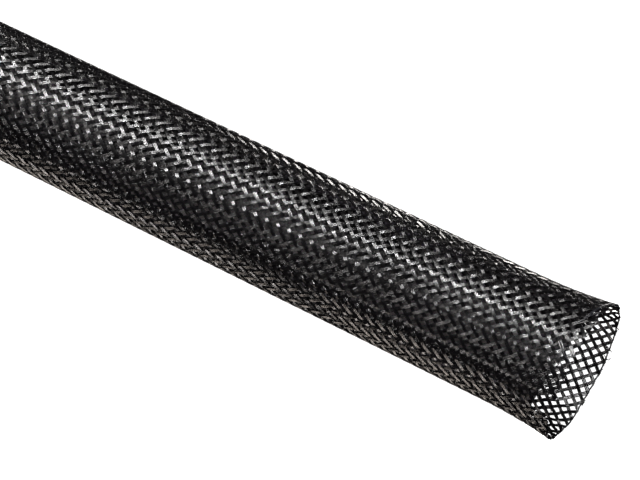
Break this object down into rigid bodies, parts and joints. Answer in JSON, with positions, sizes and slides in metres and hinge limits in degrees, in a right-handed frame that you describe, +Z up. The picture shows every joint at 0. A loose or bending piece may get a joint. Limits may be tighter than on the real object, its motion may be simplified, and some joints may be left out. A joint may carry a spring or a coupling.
{
  "type": "braided cable sleeve",
  "caption": "Open-ended tube of black braided monofilament that slips over cables and bundles them, with one cut end sprung open.",
  "frame": {"origin": "on the floor, under the middle of the sleeve's bounding box", "axes": "+X along the sleeve towards its flared cut mouth, +Z up, +Y across it"},
  "size_m": [0.305, 0.0364, 0.0357],
  "materials": {
    "black_monofilament": "semi-gloss black polyester monofilament"
  },
  "bodies": {
    "root": {"braided_sleeve": "black_monofilament"}
  },
  "joints": []
}
